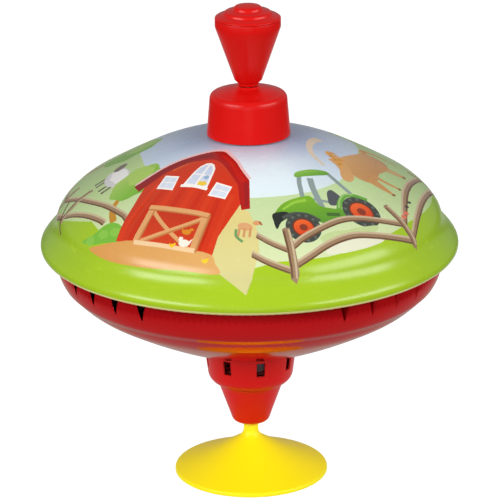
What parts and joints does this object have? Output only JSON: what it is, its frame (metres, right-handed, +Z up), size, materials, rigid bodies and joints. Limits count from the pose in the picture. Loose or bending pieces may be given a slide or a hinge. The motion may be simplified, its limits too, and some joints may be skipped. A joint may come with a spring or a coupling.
{
  "type": "spinning top",
  "caption": "Pump-action humming top: tin body with a rolled rim and slots, twisted drive rod with a knob, hopper with air windows, suction-cup foot.",
  "frame": {"origin": "middle of the foot's flat lip, on the surface the top stands on", "axes": "+Z up along the spin axis, -Y to the front of the printed scene, +X to the right seen from the front"},
  "size_m": [0.1901, 0.1902, 0.223],
  "materials": {
    "yellow_plastic": "soft glossy moulding",
    "red_plastic": "glossy moulding",
    "printed_tin": "printed and clear-lacquered tinplate",
    "red_tin": "glossy lacquered tinplate",
    "bare_tin": "plain tinplate",
    "steel": "bright drawn steel",
    "spring_steel": "oiled spring steel",
    "rod_steel": "bright twisted strip",
    "bronze": "sintered bronze",
    "reed_brass": "polished brass",
    "rivet_alloy": "soft aluminium",
    "nylon": "natural nylon",
    "clutch_plastic": "filled nylon",
    "dark_plastic": "black moulding"
  },
  "bodies": {
    "foot": {"foot_cup": "yellow_plastic", "foot_spindle": "steel", "thrust_washer": "nylon", "spindle_clip": "spring_steel"},
    "spinner": {"air_housing": "red_plastic", "spindle_bush": "bronze", "lower_shell": "red_tin", "upper_shell": "printed_tin", "reed_plate": "dark_plastic", "reeds": "reed_brass", "reed_rivets": "rivet_alloy", "centre_tube": "bare_tin", "clutch_carrier": "nylon", "clutch_ring": "clutch_plastic", "nut_cover": "nylon", "cover_screws": "spring_steel", "top_cap": "red_plastic"},
    "plunger": {"knob": "red_plastic", "knob_plug": "red_plastic", "spiral_rod": "rod_steel", "rod_stop": "nylon", "stop_pin": "steel", "rod_washer": "steel", "rod_pin": "steel"},
    "drive_nut": {"drive_nut": "clutch_plastic", "drive_plate": "steel"}
  },
  "joints": [
    {"name": "spin", "type": "hinge", "parent": "foot", "child": "spinner", "pos_m": [0, 0, 0.03], "axis": [0, 0, 1], "continuous": true},
    {"name": "pump", "type": "slide", "parent": "foot", "child": "plunger", "axis": [0, 0, 1], "range_m": [0, 0.1]},
    {"name": "nut_turn", "type": "hinge", "parent": "foot", "child": "drive_nut", "pos_m": [0, 0, 0.168], "axis": [0, 0, 1], "range_deg": [-601, 1]}
  ],
  "couplings": [
    {"joint": "nut_turn", "follows": "pump", "rad_per_m": -104.72}
  ]
}
